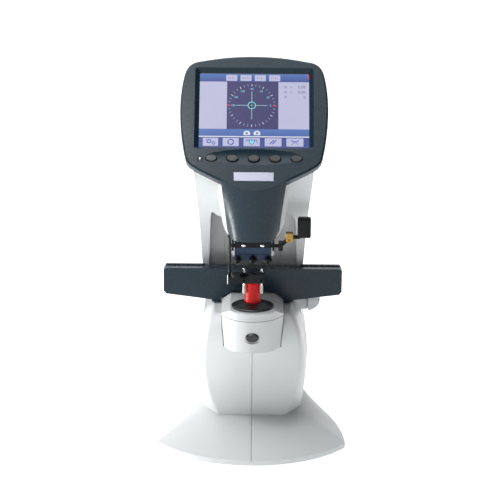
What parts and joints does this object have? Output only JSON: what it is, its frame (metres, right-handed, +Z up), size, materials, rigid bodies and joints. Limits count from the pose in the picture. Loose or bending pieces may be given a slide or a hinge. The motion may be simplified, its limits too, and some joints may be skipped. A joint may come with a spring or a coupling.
{
  "type": "lensmeter",
  "caption": "Bench lensmeter: sloping colour display on a neck over a red lens rest, sliding frame table with a lever, lens holder, ink marker and a white column on a fan foot.",
  "frame": {"origin": "on the table top, under the centre of the instrument's bounding box", "axes": "+Z up, -Y towards the operator, +X to the operator's right"},
  "size_m": [0.2008, 0.236, 0.4083],
  "materials": {
    "white_shell": "fine satin moulded ABS",
    "slate_shell": "dark slate moulded ABS, fine texture",
    "black_gloss": "polished black",
    "black_matte": "black, fine grain",
    "red_nozzle": "signal red, satin",
    "white_tip": "soft white, ribbed",
    "navy_block": "anodised navy",
    "ink_box": "light grey box with felt",
    "black_steel": "blackened steel",
    "bright_pin": "ground bright steel",
    "turned_steel": "machined steel",
    "guide_aluminium": "milled aluminium",
    "plated_frame": "zinc-plated sheet steel",
    "clamp_brass": "milled brass",
    "foot_rubber": "black rubber",
    "optical_glass": "coated optical glass",
    "display": "colour display behind a clear face",
    "circuit_board": "green circuit board",
    "silver_plate": "blank brushed plate"
  },
  "bodies": {
    "base": {"base_plate": "plated_frame", "button_board": "circuit_board", "chassis": "plated_frame", "column_panel": "white_shell", "condenser_lens": "optical_glass", "front_cover": "slate_shell", "ink_pad": "ink_box", "lcd_panel": "display", "led_board": "circuit_board", "left_housing": "white_shell", "lower_barrel": "black_matte", "main_board": "circuit_board", "nameplate": "silver_plate", "neck_ring": "black_matte", "nose_cone": "black_gloss", "nose_deck": "white_shell", "nose_housing": "white_shell", "nozzle": "red_nozzle", "objective_lens": "optical_glass", "optics_housing": "white_shell", "power_entry": "black_matte", "power_supply": "plated_frame", "right_housing": "white_shell", "rubber_foot_1": "foot_rubber", "rubber_foot_2": "foot_rubber", "rubber_foot_3": "foot_rubber", "rubber_foot_4": "foot_rubber", "sensor_board": "circuit_board", "slide_block": "guide_aluminium", "upper_barrel": "black_matte", "window_glass": "optical_glass"},
    "table": {"frame_table": "slate_shell", "table_carriage": "black_matte", "table_rod_left": "bright_pin", "table_rod_right": "bright_pin", "table_rack": "turned_steel"},
    "lever": {"table_lever": "white_shell", "lever_shaft": "turned_steel", "sector_gear": "turned_steel"},
    "holder": {"holder_rod": "black_steel", "holder_block": "black_matte", "holder_knob": "black_matte"},
    "pin_left": {"lens_pin_left": "bright_pin", "pin_tip_left": "white_tip"},
    "pin_right": {"lens_pin_right": "bright_pin", "pin_tip_right": "white_tip"},
    "marker": {"marker_shaft": "black_steel", "marker_block": "navy_block", "marker_pen_1": "black_matte", "marker_pen_2": "black_matte", "marker_pen_3": "black_matte", "marker_lever": "black_matte", "marker_clamp": "clamp_brass"},
    "read_key": {"read_button": "black_gloss"},
    "mains_rocker": {"power_rocker": "black_matte"},
    "key_1": {"screen_button_1": "black_gloss"},
    "key_2": {"screen_button_2": "black_gloss"},
    "key_3": {"screen_button_3": "black_gloss"},
    "key_4": {"screen_button_4": "black_gloss"},
    "key_5": {"screen_button_5": "black_gloss"}
  },
  "joints": [
    {"name": "table_slide", "type": "slide", "parent": "base", "child": "table", "axis": [0, -1, 0], "range_m": [0, 0.025]},
    {"name": "lever_turn", "type": "hinge", "parent": "base", "child": "lever", "pos_m": [0, 0.06, 0.13], "axis": [1, 0, 0], "range_deg": [0, 64]},
    {"name": "holder_slide", "type": "slide", "parent": "base", "child": "holder", "axis": [0, 0, 1], "range_m": [0, 0.025]},
    {"name": "pin_left_spring", "type": "slide", "parent": "holder", "child": "pin_left", "axis": [0, 0, 1], "range_m": [0, 0.0028], "stiffness_N_per_m": 150, "springref_m": -0.002},
    {"name": "pin_right_spring", "type": "slide", "parent": "holder", "child": "pin_right", "axis": [0, 0, 1], "range_m": [0, 0.0028], "stiffness_N_per_m": 150, "springref_m": -0.002},
    {"name": "marker_swing", "type": "hinge", "parent": "base", "child": "marker", "pos_m": [0, -0.029, 0.2155], "axis": [1, 0, 0], "range_deg": [-90, 0], "stiffness_Nm_per_rad": 0.03, "springref_deg": 34.38},
    {"name": "read_press", "type": "slide", "parent": "base", "child": "read_key", "axis": [0, 1, 0], "range_m": [0, 0.0012], "stiffness_N_per_m": 600, "springref_m": -0.001},
    {"name": "mains_rock", "type": "hinge", "parent": "base", "child": "mains_rocker", "pos_m": [-0.025, 0.104, 0.072], "axis": [1, 0, 0], "range_deg": [-8, 0]},
    {"name": "key_1_press", "type": "slide", "parent": "base", "child": "key_1", "axis": [0, 0.7771, -0.6293], "range_m": [0, 0.0008], "stiffness_N_per_m": 500, "springref_m": -0.0008},
    {"name": "key_2_press", "type": "slide", "parent": "base", "child": "key_2", "axis": [0, 0.7771, -0.6293], "range_m": [0, 0.0008], "stiffness_N_per_m": 500, "springref_m": -0.0008},
    {"name": "key_3_press", "type": "slide", "parent": "base", "child": "key_3", "axis": [0, 0.7771, -0.6293], "range_m": [0, 0.0008], "stiffness_N_per_m": 500, "springref_m": -0.0008},
    {"name": "key_4_press", "type": "slide", "parent": "base", "child": "key_4", "axis": [0, 0.7771, -0.6293], "range_m": [0, 0.0008], "stiffness_N_per_m": 500, "springref_m": -0.0008},
    {"name": "key_5_press", "type": "slide", "parent": "base", "child": "key_5", "axis": [0, 0.7771, -0.6293], "range_m": [0, 0.0008], "stiffness_N_per_m": 500, "springref_m": -0.0008}
  ],
  "couplings": [
    {"joint": "lever_turn", "follows": "table_slide", "rad_per_m": 44.444}
  ]
}
